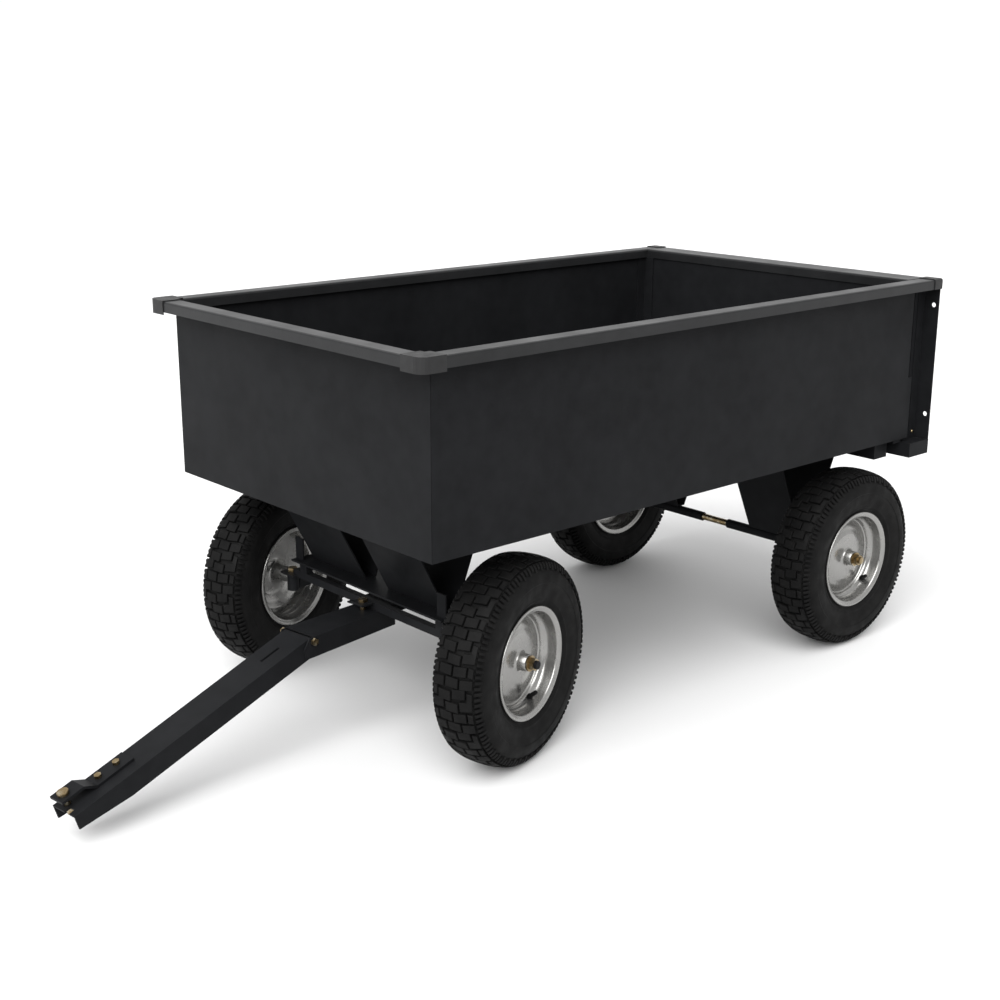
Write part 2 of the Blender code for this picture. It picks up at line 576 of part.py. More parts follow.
def rim_profile():
    """Outboard is positive: flanged barrel with a drop centre, dished disc and hub tube."""
    barrel = [(0.0470, RIM_RADIUS), (0.0440, RIM_RADIUS), (0.0425, 0.1016), (0.0200, 0.1005),
              (0.0120, 0.0935)]
    outside = barrel + [(-x, r) for x, r in reversed(barrel)]
    inboard = [(-0.0455, 0.0990), (-0.0200, 0.0975), (-0.0140, 0.0910), (0.0020, 0.0910)]
    disc_back = [(0.0040, 0.0700), (0.0140, 0.0520), (0.0160, 0.0300), (0.0100, HUB_RADIUS)]
    hub = [(HUB_INNER, HUB_RADIUS), (HUB_INNER, BORE_RADIUS), (HUB_OUTER, BORE_RADIUS),
           (HUB_OUTER, HUB_RADIUS)]
    disc_front = [(0.0185, 0.0175), (0.0195, 0.0300), (0.0170, 0.0540), (0.0075, 0.0720),
                  (0.0050, 0.0910)]
    outboard = [(0.0140, 0.0910), (0.0200, 0.0975), (0.0455, 0.0990)]
    return outside + inboard + disc_back + hub + disc_front + outboard


def make_wheel(label, side, body):
    """Wheel about its own spin axis, at the body's origin; side is +1 for the cart's left."""
    add_object(f"tyre_{label}", turned_mesh(tyre_profile(), 32), RUBBER, body, smooth=60)
    rim = [(side * x, r) for x, r in rim_profile()]
    wheel = add_object(f"rim_{label}", turned_mesh(rim, 28), RIM_STEEL, body, smooth=35)
    foot = Vector((side * 0.0126, 0, -0.0984))
    tip = Vector((side * 0.0390, 0, -0.0740))
    cut(wheel, f"valve_hole_{label}", rod_mesh(foot * 1.06 - tip * 0.06, tip, 0.0057, 12))
    bush = [(HUB_INNER - 0.0005, AXLE_RADIUS + 0.0001), (HUB_INNER - 0.0005, BORE_RADIUS - 0.0001),
            (HUB_OUTER + 0.0005, BORE_RADIUS - 0.0001), (HUB_OUTER + 0.0005, AXLE_RADIUS + 0.0001)]
    bush = [(side * x, r) for x, r in bush]
    add_object(f"wheel_bush_{label}", turned_mesh(bush, 24), BUSH, body, smooth=40)
    stem = rod_mesh(foot, tip, 0.0053, 12, end_radius=0.0040)
    add_object(f"valve_stem_{label}", stem, RUBBER, body, smooth=40)


# ---- tongue -----------------------------------------------------------------------------------------
def channel_section(half, high, depth, thick):
    """Inverted U in section; (across, height) pairs."""
    path = [(-half, high - depth), (-half, high), (half, high), (half, high - depth)]
    return sheet_outline(path, -thick)


def make_yoke(body):
    """Yoke in its own frame: forward is -Y, its steering bolt is the origin, its top is z = 0."""
    front = -(HINGE_FORWARD - 0.004)

    def section(y, half):
        return [(x, y, z) for x, z in channel_section(half, 0.0, YOKE_DEPTH, PLATE)]
    yoke = add_object("tongue_yoke", loft_mesh([section(YOKE_REAR, YOKE_REAR_HALF),
                                                section(front, YOKE_FRONT_HALF)]), PAINT, body)
    for side, label in ((1, "left"), (-1, "right")):
        ear = [(front + 0.002, -0.0005), (front + 0.002, -YOKE_DEPTH),
               (-HINGE_FORWARD - 0.020, -YOKE_DEPTH), (-HINGE_FORWARD - 0.024, -0.022),
               (-HINGE_FORWARD - 0.010, -0.0005)]
        inner, outer = sorted((side * (YOKE_FRONT_HALF - PLATE), side * YOKE_FRONT_HALF))
        join(yoke, f"yoke_ear_{label}", prism_mesh(ear, "X", inner, outer))
    reach = ARM * 2
    wing_rear = 0.088
    arm = [(-YOKE_WING, 0.012), (YOKE_WING, 0.012), (YOKE_WING, wing_rear - 0.012),
           (YOKE_WING - 0.012, wing_rear), (0.020, wing_rear), (0.020, reach + 0.012),
           (0.012, reach + 0.020), (-0.012, reach + 0.020), (-0.020, reach + 0.012),
           (-0.020, wing_rear), (-YOKE_WING + 0.012, wing_rear), (-YOKE_WING, wing_rear - 0.012)]
    join(yoke, "yoke_arm", prism_mesh(arm, "Z", -PLATE, 0.0))
    cut(yoke, "pivot_hole", rod_mesh((0, 0, -0.02), (0, 0, 0.02), 0.0063, 20))
    slot = [(-0.0054, reach - 0.013), (0.0054, reach - 0.013),
            (0.0054, reach + 0.007), (-0.0054, reach + 0.007)]
    cut(yoke, "drive_slot", prism_mesh(slot, "Z", -0.02, 0.02))
    across = YOKE_FRONT_HALF + 0.01
    cut(yoke, "hinge_hole", rod_mesh((-across, -HINGE_FORWARD, -HINGE_DROP),
                                     (across, -HINGE_FORWARD, -HINGE_DROP), 0.0048, 16))


def make_hinge_bolt(body):
    """Through bolt of the tongue hinge: head on the left, nut on the right."""
    across = YOKE_FRONT_HALF + GAP
    at = (0, -HINGE_FORWARD, -HINGE_DROP)
    shank = rod_mesh((-across - 0.010, 0, 0), (across + 0.003, 0, 0), 0.0045, 16)
    piece = add_object("tongue_hinge_bolt", shank, ZINC, body, at, smooth=40)
    for label, start, end in (("head", across, across + 0.006), ("nut", -across - 0.007, -across)):
        other = cutter(f"hinge_bolt_{label}", rod_mesh((start, 0, 0), (end, 0, 0), 0.0078, 6), body)
        other.location = at
        boolean(piece, other, "UNION")


def make_drawbar(body):
    """Drawbar in its own frame: forward is -Y, the hinge is the origin."""
    top = DRAWBAR_TOP

    def section(y, half, depth):
        return [(x, y, z) for x, z in channel_section(half, top, depth, PLATE)]
    rear = section(0.013, DRAWBAR_REAR_HALF, DRAWBAR_DEPTH)
    shoulder = section(-DRAWBAR_LENGTH + 0.110, DRAWBAR_FRONT_HALF + 0.0009, DRAWBAR_DEPTH)
    nose = section(-DRAWBAR_LENGTH, DRAWBAR_FRONT_HALF, DRAWBAR_NOSE_DEPTH)
    drawbar = add_object("drawbar", loft_mesh([rear, shoulder, nose]), PAINT, body)
    wide = 0.08
    cut(drawbar, "drawbar_heel", box_mesh((-wide, -0.002, DRAWBAR_HEEL), (wide, 0.05, 0.05)))
    cut(drawbar, "drawbar_hinge_hole", rod_mesh((-wide, 0, 0), (wide, 0, 0), 0.0048, 16))
    cut(drawbar, "drawbar_slot",
        box_mesh((-0.003, -0.100, top - 0.01), (0.003, -0.052, top + 0.01)))
    notch = 0.0065
    pin_y = -DRAWBAR_LENGTH + PIN_BACK
    cut(drawbar, "hitch_notch",
        box_mesh((NOTCH_X - notch, -DRAWBAR_LENGTH - 0.01, top - 0.01),
                 (NOTCH_X + notch, -DRAWBAR_LENGTH + 0.012, top + 0.01)))
    cut(drawbar, "drawbar_pin_hole",
        rod_mesh((STRAP_X, pin_y, top - 0.01), (STRAP_X, pin_y, top + 0.01), 0.0068, 20))
    for number, back in enumerate((0.085, 0.125)):
        y = -DRAWBAR_LENGTH + back
        cut(drawbar, f"strap_hole_{number}",
            rod_mesh((STRAP_X, y, top - 0.01), (STRAP_X, y, top + 0.01), 0.0043, 16))


def make_hitch(body, pin_body):
    """Strap over the drawbar's nose, its two bolts, and the hitch pin."""
    front = -DRAWBAR_LENGTH
    flat = DRAWBAR_TOP + GAP
    path = [(front + 0.150, flat), (front + 0.068, flat), (front + 0.045, flat + JAW_GAP),
            (front, flat + JAW_GAP)]
    strap = add_object("hitch_strap", prism_mesh(sheet_outline(path, -STRAP_THICK), "X",
                                                 STRAP_X - STRAP_HALF, STRAP_X + STRAP_HALF),
                       PAINT, body)
    pin_y = front + PIN_BACK
    cut(strap, "strap_pin_hole",
        rod_mesh((STRAP_X, pin_y, flat), (STRAP_X, pin_y, flat + 0.04), 0.0068, 20))
    for number, back in enumerate((0.085, 0.125)):
        y = front + back
        cut(strap, f"strap_bolt_hole_{number}",
            rod_mesh((STRAP_X, y, flat - 0.01), (STRAP_X, y, flat + 0.02), 0.0043, 16))
        label = ("front", "rear")[number]
        at = (STRAP_X, y, flat + STRAP_THICK + GAP)
        bolt(f"strap_bolt_{label}", body, at, 0.0040, -0.020, 0.0055)
    head = flat + JAW_GAP + STRAP_THICK + GAP
    pin = add_object("hitch_pin", rod_mesh((0, 0, 0), (0, 0, 0.006), 0.0105, 20), ZINC, pin_body,
                     smooth=40)
    join(pin, "pin_shank", rod_mesh((0, 0, DRAWBAR_TOP - 0.020 - head), (0, 0, 0.003), 0.0063, 20))


# ---- assembly ---------------------------------------------------------------------------------------
# The whole cart's box, as it stands, is centred on the origin by this shift.
SHIFT_X = 0.01315
SHIFT_Y = 0.26995
# The heel stops the drawbar at this angle below level, with its nose just off the ground.
DRAWBAR_DROOP = radians(17.0)


def main():
    clear_scene()
    root = frame_empty("cart", at=(SHIFT_X, SHIFT_Y, 0))
    make_floor(root)
    make_panels(root)
    make_rails(root)
    make_corner_caps(root)
    make_end_caps(root)
    make_posts(root)
    make_underframe(root)
    make_front_bolster(root)
    make_front_beam(root)
    make_rear_axle(root)
    make_tailgate(frame_empty("tailgate", root))

    for side, label in ((1, "left"), (-1, "right")):
        knuckle = frame_empty(f"knuckle_frame_{label}", root, (side * PIVOT_X, PIVOT_Y, 0),
                              (0, 0, WHEEL_TURN))
        make_knuckle(side, label, knuckle)
        hub = frame_empty(f"front_hub_{label}", knuckle,
                          (side * SPINDLE_OUT, SPINDLE_BACK, TYRE_RADIUS),
                          (radians(WHEEL_SPIN[f"front_{label}"]), 0, 0))
        make_wheel(f"front_{label}", side, hub)
        hub = frame_empty(f"rear_hub_{label}", root, (side * REAR_WHEEL_X, REAR_AXLE_Y, TYRE_RADIUS),
                          (radians(WHEEL_SPIN[f"rear_{label}"]), 0, 0))
        make_wheel(f"rear_{label}", side, hub)
        if side == 1:
            tie = frame_empty("tie_bar_frame", knuckle, (0, ARM, 0), (0, 0, -WHEEL_TURN))
            make_tie_bar(tie)

    yoke = frame_empty("yoke_frame", root, (0, PIVOT_Y - STEER_LEAD, YOKE_TOP), (0, 0, TONGUE_TURN))
    make_yoke(yoke)
    make_hinge_bolt(yoke)
    drawbar = frame_empty("drawbar_frame", yoke, (0, -HINGE_FORWARD, -HINGE_DROP),
                          (DRAWBAR_DROOP, 0, 0))
    make_drawbar(drawbar)
    pin_at = (STRAP_X, -DRAWBAR_LENGTH + PIN_BACK, DRAWBAR_TOP + 2 * GAP + JAW_GAP + STRAP_THICK)
    make_hitch(drawbar, frame_empty("hitch_pin_frame", drawbar, pin_at))


main()
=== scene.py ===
"""Looks for the four-wheel garden cart: camera, light, materials, treaded tyres, pressed rims,
valves, the front panel's returns and the details of the tailgate posts."""

import bpy
import bmesh
import json
from math import cos, pi, radians, sin
from mathutils import Matrix, Vector

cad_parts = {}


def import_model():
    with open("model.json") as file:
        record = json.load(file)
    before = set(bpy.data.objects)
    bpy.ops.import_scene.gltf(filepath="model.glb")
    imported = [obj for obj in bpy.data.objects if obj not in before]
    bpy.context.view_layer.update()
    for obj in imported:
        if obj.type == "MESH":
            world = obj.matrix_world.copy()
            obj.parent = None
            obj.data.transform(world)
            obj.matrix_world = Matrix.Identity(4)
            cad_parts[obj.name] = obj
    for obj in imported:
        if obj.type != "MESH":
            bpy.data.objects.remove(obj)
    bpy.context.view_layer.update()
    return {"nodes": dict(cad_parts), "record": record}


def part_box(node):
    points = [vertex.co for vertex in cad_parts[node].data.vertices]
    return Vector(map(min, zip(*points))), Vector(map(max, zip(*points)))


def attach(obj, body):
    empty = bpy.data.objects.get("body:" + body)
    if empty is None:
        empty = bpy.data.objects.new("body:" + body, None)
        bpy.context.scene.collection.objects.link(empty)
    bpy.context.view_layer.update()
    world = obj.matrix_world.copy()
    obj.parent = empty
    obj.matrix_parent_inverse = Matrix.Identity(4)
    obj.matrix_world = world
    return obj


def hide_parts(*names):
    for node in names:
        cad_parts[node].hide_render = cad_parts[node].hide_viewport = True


# ---- where the stored pose stands -----------------------------------------------------------
WHEEL_TURN = radians(15.9)
# wheel: side (+1 is the cart's left), steering turn, valve's place round the wheel
WHEELS = {"front_left": (1, WHEEL_TURN, radians(22.5)),
          "front_right": (-1, WHEEL_TURN, radians(67.5)),
          "rear_left": (1, 0.0, radians(45.0)),
          "rear_right": (-1, 0.0, radians(-22.5))}

# ---- camera ---------------------------------------------------------------------------------
CAMERA_AT = (2.30545, -1.97805, 1.2656)
CAMERA_AZIMUTH = radians(48.26)
CAMERA_PITCH = radians(15.94)
CAMERA_ROLL = radians(0.2)
SENSOR_MM = 36.0
LENS_MM = 1.4978 * SENSOR_MM

# ---- light ----------------------------------------------------------------------------------
OVERHEAD_POWER = 4.3
OVERHEAD_SPREAD = radians(60.0)
OVERHEAD_TRAVEL = Vector((-0.35, 0.60, -0.72))
SURROUND_BRIGHTEST = Vector((-0.66, 0.66, 0.36))
SURROUND_DIM = 0.80
SURROUND_BRIGHT = 1.02
SURROUND_REACH = 0.5              # cosine from the brightest direction where a level is reached
# area lights: name, place, aim, size, power
AREA_LIGHTS = [("key", (-0.8, -3.8, 2.2), (0, -0.5, 0.5), (2.4, 1.6), 10.0),
               ("rim_glint", (3.4, -2.6, 2.6), (0.5, 0.0, 0.2), (0.9, 0.9), 10.0)]
FLOOR_HALF = 30.0

# ---- wheel sizes, metres --------------------------------------------------------------------
TREAD_ROWS = 56
BRICK = 0.0300                    # across the tread, with its gap
BRICK_GAP = 0.0026
BRICK_FILL = 0.86                 # of a row's pitch
BRICK_NUDGE = 0.07                # to and fro round the tyre, of a pitch
BRICK_LEAN = 0.10
SHOULDER_START = 0.0440           # along the tread's arc
LUG_GAP = 0.0012
LUG_FILL = 0.33
LUG_DEPTH = 0.0056
LUGS = [(0.25, 0.0600), (0.75, 0.0643)]   # two to a row: place in its pitch, reach down the shoulder
BLOCK_SINK = 0.0008               # how far a block's foot goes into the casing
BLOCK_LIP = 0.0009                # height of the softened edge round a block's top
TREAD_DEPTH = 0.0060
GROOVE_STEPS = (0.0, 0.012, 0.024, 0.034, 0.043, 0.050)
GROOVE_RUNOUT = [(0.058, TREAD_DEPTH * 0.85), (0.0645, 0.0018)]   # along the arc, depth
# Top of the tread from the middle of the crown down the shoulder: across, radius.
CROWN = [(0.0, 0.2030), (0.0160, 0.2024), (0.0310, 0.2004), (0.0410, 0.1970), (0.0470, 0.1920),
         (0.0503, 0.1852), (0.0524, 0.1780)]
SIDEWALL = [(0.0536, 0.1700), (0.0546, 0.1640), (0.0551, 0.1600), (0.0551, 0.1560),
            (0.0540, 0.1545), (0.0539, 0.1490), (0.0531, 0.1420), (0.0518, 0.1350),
            (0.0501, 0.1285), (0.0490, 0.1250), (0.0492, 0.1225), (0.0480, 0.1205),
            (0.0455, 0.1180), (0.0432, 0.1150), (0.0424, 0.1112), (0.0420, 0.1060),
            (0.0405, 0.1030)]
TYRE_INSIDE = [(0.0360, 0.1060), (0.0470, 0.1560), (0.0420, 0.1800), (0.0, 0.1900)]
CASING_SEGMENTS = 120
RIM_SEGMENTS = 96
# Outboard face of the pressed rim, flange to hub: across, radius.
RIM_FACE = [(0.0440, 0.1106), (0.0460, 0.1104), (0.0470, 0.1092), (0.0470, 0.1074),
            (0.0462, 0.1052), (0.0450, 0.1034), (0.0440, 0.1008), (0.0432, 0.0994),
            (0.0400, 0.0988), (0.0270, 0.0982), (0.0215, 0.0974), (0.0180, 0.0950),
            (0.0155, 0.0920), (0.0140, 0.0898), (0.0095, 0.0890), (0.0068, 0.0880),
            (0.0060, 0.0862), (0.0062, 0.0830), (0.0078, 0.0780), (0.0105, 0.0735),
            (0.0122, 0.0700), (0.0128, 0.0660), (0.0145, 0.0600), (0.0168, 0.0545),
            (0.0178, 0.0500), (0.0186, 0.0400), (0.0190, 0.0300), (0.0188, 0.0240),
            (0.0194, 0.0200), (0.0215, 0.0180), (0.0240, 0.0168), (0.0395, 0.0165),
            (0.0400, 0.0160), (0.0400, 0.0129)]
RIM_BACK = [(-0.0380, 0.0129), (-0.0380, 0.0160), (-0.0375, 0.0165), (0.0100, 0.0166),
            (0.0135, 0.0200), (0.0158, 0.0300), (0.0155, 0.0400), (0.0145, 0.0500),
            (0.0130, 0.0540), (0.0105, 0.0600), (0.0090, 0.0660), (0.0075, 0.0720),
            (0.0040, 0.0780), (0.0030, 0.0840), (0.0030, 0.0888), (-0.0100, 0.0890),
            (-0.0140, 0.0910), (-0.0180, 0.0950), (-0.0215, 0.0974), (-0.0270, 0.0982),
            (-0.0400, 0.0988), (-0.0432, 0.0994), (-0.0450, 0.1034), (-0.0462, 0.1052),
            (-0.0470, 0.1074), (-0.0470, 0.1092), (-0.0460, 0.1104), (-0.0440, 0.1106),
            (-0.0428, 0.1085), (-0.0418, 0.1035), (-0.0400, 0.1012), (-0.0230, 0.1000),
            (-0.0150, 0.0925), (0.0130, 0.0925), (0.0215, 0.1000), (0.0400, 0.1012),
            (0.0418, 0.1035), (0.0428, 0.1085)]

# Valve stem's ends: out from the wheel's middle, radius.
VALVE_FOOT = (0.0128, 0.0982)
VALVE_TIP = (0.0390, 0.0740)
# Its steps from foot to cap: start and end along the stem, radius at each.
VALVE_STEPS = [(0.0, 0.34, 0.0053, 0.0053), (0.33, 0.40, 0.0062, 0.0050), (0.40, 0.62, 0.0042, 0.0033),
               (0.60, 0.64, 0.0044, 0.0044), (0.64, 0.96, 0.0042, 0.0040), (0.955, 1.0, 0.0040, 0.0028)]

# ---- front panel's returns ------------------------------------------------------------------
RETURN_CLEAR = 0.0002             # off the side panel
RETURN_PROUD = 0.0014
RETURN_WIDTH = 0.0165
RETURN_SHORT = 0.022              # stops this far under the side panel's top
RETURN_BEVEL = 0.0005

# ---- tailgate posts -------------------------------------------------------------------------
WEB_INSET = 0.0124                # web's outer face, in from the side panel's
RIVET_BACK = 0.038                # behind the side panel's rear edge
RIVET_UP = 0.007                  # above the tub's bottom
FOLD_STARTS = (0.0050, 0.0190)
FOLD_WIDTH = 0.0040
FOLD_HEIGHT = 0.0016
FOLD_SINK = 0.0003
FOLD_FOOT = 0.0200                # above the post's foot
FOLD_TOP = 0.0040                 # below its top
FOLD_BEVEL = 0.0007
RIVET_HEIGHT = 0.0018
RIVET_RADIUS = 0.0042
RIVET_TOP_RADIUS = 0.0028

# ---- linear colours -------------------------------------------------------------------------
CHARCOAL = (0.0086, 0.0089, 0.0097)
RAIL_CHARCOAL = (0.0105, 0.0108, 0.0114)
BLACK_PLASTIC = (0.0100, 0.0100, 0.0104)
TYRE_BLACK = (0.0034, 0.0034, 0.0035)
TYRE_DUST = (0.0105, 0.0102, 0.0098)
SILVER = (0.29, 0.287, 0.278)
BUSH_GREY = (0.10, 0.10, 0.10)
FLOOR_DIM = (0.67, 0.67, 0.67)
FLOOR_PALE = (0.68, 0.68, 0.68)
FLOOR_BRIGHT = (0.69, 0.69, 0.69)
ZINC_GOLD = (0.27, 0.20, 0.105)
ZINC_PALE = (0.46, 0.42, 0.33)
# where nearly all of a noise texture's values lie
NOISE_LOW = 0.3
NOISE_HIGH = 0.7


# ---- materials ------------------------------------------------------------------------------
class Shader:
    """A Principled material with helpers for the textures that feed it."""

    def __init__(self, name, colour, roughness, metallic=0.0, specular=0.5):
        self.material = bpy.data.materials.new(name)
        self.material.use_nodes = True
        self.nodes = self.material.node_tree.nodes
        self.links = self.material.node_tree.links
        self.bsdf = self.nodes["Principled BSDF"]
        self.bsdf.inputs["Base Color"].default_value = (*colour, 1.0)
        self.bsdf.inputs["Roughness"].default_value = roughness
        self.bsdf.inputs["Metallic"].default_value = metallic
        self.bsdf.inputs["Specular IOR Level"].default_value = specular
        self.coords = self.nodes.new("ShaderNodeTexCoord").outputs["Object"]

    def noise(self, scale, detail):
        node = self.nodes.new("ShaderNodeTexNoise")
        node.inputs["Scale"].default_value = scale
        node.inputs["Detail"].default_value = detail
        self.links.new(self.coords, node.inputs["Vector"])
        return node.outputs["Fac"]

    def ramp(self, value, stops):
        node = self.nodes.new("ShaderNodeValToRGB")
        elements = node.color_ramp.elements
        for i, (place, colour) in enumerate(stops):
            element = elements[i] if i < 2 else elements.new(place)
            element.position = place
            element.color = (*colour, 1.0)
        self.links.new(value, node.inputs["Fac"])
        return node.outputs["Color"]

    def spread(self, value, low, high):
        """Noise stretched to run from low to high."""
        node = self.nodes.new("ShaderNodeMapRange")
        node.inputs["From Min"].default_value = NOISE_LOW
        node.inputs["From Max"].default_value = NOISE_HIGH
        node.inputs["To Min"].default_value = low
        node.inputs["To Max"].default_value = high
        self.links.new(value, node.inputs["Value"])
        return node.outputs["Result"]

    def mix(self, factor, first, second):
        node = self.nodes.new("ShaderNodeMix")
        node.data_type = "RGBA"
        self.links.new(factor, node.inputs["Factor"])
        for socket, value in ((node.inputs[6], first), (node.inputs[7], second)):
            if isinstance(value, tuple):
                socket.default_value = (*value, 1.0)
            else:
                self.links.new(value, socket)
        return node.outputs[2]

    def set(self, socket, value):
        self.links.new(value, self.bsdf.inputs[socket])

    def bump(self, heights):
        """heights: pairs of a height output and its distance in metres."""
        normal = None
        for height, distance in heights:
            node = self.nodes.new("ShaderNodeBump")
            node.inputs["Strength"].default_value = 1.0
            node.inputs["Distance"].default_value = distance
            self.links.new(height, node.inputs["Height"])
            if normal:
                self.links.new(normal, node.inputs["Normal"])
            normal = node.outputs["Normal"]
        self.links.new(normal, self.bsdf.inputs["Normal"])


def tint(colour, factor):
    return tuple(channel * factor for channel in colour)


def powder_coat(name, colour, roughness, specular):
    """Satin powder coat: orange peel, faint mottling and a little handling dust."""
    s = Shader(name, colour, roughness, specular=specular)
    mottle = s.noise(5.0, 5.0)
    cloud = s.ramp(mottle, [(0.32, tint(colour, 0.86)), (0.70, tint(colour, 1.18))])
    dust = s.spread(s.noise(34.0, 8.0), 0.0, 0.16)
    s.set("Base Color", s.mix(dust, cloud, tint(colour, 2.6)))
    s.set("Roughness", s.spread(s.noise(11.0, 6.0), roughness - 0.05, roughness + 0.07))
    s.bump([(s.noise(420.0, 2.0), 0.00011), (s.noise(2.6, 1.0), 0.0016)])
    return s.material


def moulded_plastic():
    s = Shader("black_plastic", BLACK_PLASTIC, 0.50, specular=0.30)
    s.set("Base Color", s.ramp(s.noise(20.0, 6.0), [(0.3, tint(BLACK_PLASTIC, 0.85)),
                                                    (0.75, tint(BLACK_PLASTIC, 1.35))]))
    s.set("Roughness", s.spread(s.noise(60.0, 4.0), 0.44, 0.58))
    s.bump([(s.noise(1300.0, 2.0), 0.00010)])
    return s.material


def tyre_rubber():
    s = Shader("tyre_rubber", TYRE_BLACK, 0.62, specular=0.08)
    dusty = s.spread(s.noise(26.0, 9.0), 0.0, 0.42)
    s.set("Base Color", s.mix(dusty, TYRE_BLACK, TYRE_DUST))
    s.set("Roughness", s.spread(s.noise(40.0, 5.0), 0.50, 0.74))
    s.bump([(s.noise(900.0, 3.0), 0.00012), (s.noise(70.0, 3.0), 0.0003)])
    return s.material


def rim_silver():
    """Silver-painted pressed steel with faint turned marks and mottled gloss."""
    s = Shader("rim_silver", SILVER, 0.30, 0.88)
    s.set("Base Color", s.ramp(s.noise(16.0, 6.0), [(0.3, tint(SILVER, 0.92)),
                                                    (0.72, tint(SILVER, 1.10))]))
    s.set("Roughness", s.spread(s.noise(30.0, 6.0), 0.22, 0.30))
    s.bump([(s.noise(700.0, 2.0), 0.00002), (s.noise(7.0, 1.0), 0.0003)])
    return s.material


def yellow_zinc():
    s = Shader("yellow_zinc", ZINC_GOLD, 0.30, 1.0)
    patches = s.noise(95.0, 4.0)
    s.set("Base Color", s.ramp(patches, [(0.30, tint(ZINC_GOLD, 0.8)), (0.52, ZINC_GOLD),
                                         (0.72, ZINC_PALE)]))
    s.set("Roughness", s.spread(s.noise(160.0, 4.0), 0.22, 0.42))
    s.bump([(s.noise(600.0, 3.0), 0.00008)])
    return s.material


def bush_plastic():
    s = Shader("bush_plastic", BUSH_GREY, 0.55)
    s.set("Base Color", s.ramp(s.noise(80.0, 4.0), [(0.3, tint(BUSH_GREY, 0.8)),
                                                    (0.7, tint(BUSH_GREY, 1.3))]))
    s.bump([(s.noise(900.0, 2.0), 0.00008)])
    return s.material


def pale_floor():
    s = Shader("studio_floor", FLOOR_PALE, 0.80, specular=0.2)
    s.set("Base Color", s.ramp(s.noise(1.5, 2.0), [(0.3, FLOOR_DIM), (0.7, FLOOR_BRIGHT)]))
    return s.material


# ---- mesh helpers ---------------------------------------------------------------------------
def finish_mesh(name, bm, material, smooth_angle=35.0):
    bmesh.ops.recalc_face_normals(bm, faces=bm.faces)
    mesh = bpy.data.meshes.new(name)
    bm.to_mesh(mesh)
    bm.free()
    mesh.shade_smooth()
    mesh.set_sharp_from_angle(angle=radians(smooth_angle))
    mesh.materials.append(material)
    return mesh


def add_piece(name, mesh, matrix=None):
    piece = bpy.data.objects.new(name, mesh)
    bpy.context.collection.objects.link(piece)
    if matrix is not None:
        piece.matrix_world = matrix
    return piece


def revolve(bm, loop, segments):
    """Closed loop of (across, radius) about the X axis."""
    rings = []
    for step in range(segments):
        angle = 2 * pi * step / segments
        rings.append([bm.verts.new((x, r * cos(angle), r * sin(angle))) for x, r in loop])
    for step in range(segments):
        ring, following = rings[step], rings[(step + 1) % segments]
        for i in range(len(loop)):
            j = (i + 1) % len(loop)
            bm.faces.new((ring[i], ring[j], following[j], following[i]))


def box_piece(bm, low, high):
    middle = (Vector(low) + Vector(high)) / 2
    size = Vector(high) - Vector(low)
    bmesh.ops.create_cube(bm, size=1.0, matrix=Matrix.LocRotScale(middle, None, size))


def rod(bm, start, end, radius, end_radius, segments):
    along = end - start
    turn = along.to_track_quat("Z", "Y").to_matrix().to_4x4()
    bmesh.ops.create_cone(bm, cap_ends=True, segments=segments, radius1=radius, radius2=end_radius,
                          depth=along.length, matrix=Matrix.Translation((start + end) / 2) @ turn)


def box_centre(node):
    low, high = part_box(node)
    return (Vector(low) + Vector(high)) / 2


# ---- tyre -----------------------------------------------------------------------------------
def crown_point(across, drop):
    """Point on the tread at an arc distance from the middle, sunk by drop: (across, radius)."""
    left = abs(across)
    side = 1 if across >= 0 else -1
    for (x0, r0), (x1, r1) in zip(CROWN, CROWN[1:]):
        step = Vector((x1 - x0, r1 - r0))
        if left <= step.length or (x1, r1) == CROWN[-1]:
            along = step.normalized()
            place = Vector((x0, r0)) + along * left
            place -= Vector((-along.y, along.x)) * drop
            return side * place.x, place.y
        left -= step.length


def tread_block(bm, start, end, angle, length, depth, lean=0.0):
    """One tread block from start to end across the tread, length round it in radians."""
    radius = CROWN[0][1]
    rings = []
    for drop, inset in ((depth, 0.0), (BLOCK_LIP, BLOCK_LIP * 0.7), (0.0, BLOCK_LIP * 1.6)):
        low, high = start + inset, end - inset
        half = length / 2 - inset / radius
        ring = []
        across_steps = [low + (high - low) * i / 3 for i in range(4)]
        path = [(a, -half) for a in across_steps] + [(a, half) for a in reversed(across_steps)]
        for a, turn in path:
            x, r = crown_point(a, drop)
            swing = angle + turn + lean * (a - start) / (end - start)
            ring.append(bm.verts.new((x, r * cos(swing), r * sin(swing))))
        rings.append(ring)
    count = len(rings[0])
    for ring, following in zip(rings, rings[1:]):
        for i in range(count):
            j = (i + 1) % count
            bm.faces.new((ring[i], ring[j], following[j], following[i]))
    for ring in (rings[0], rings[-1]):
        for i in range(count // 2 - 1):
            bm.faces.new((ring[i], ring[i + 1], ring[count - 2 - i], ring[count - 1 - i]))


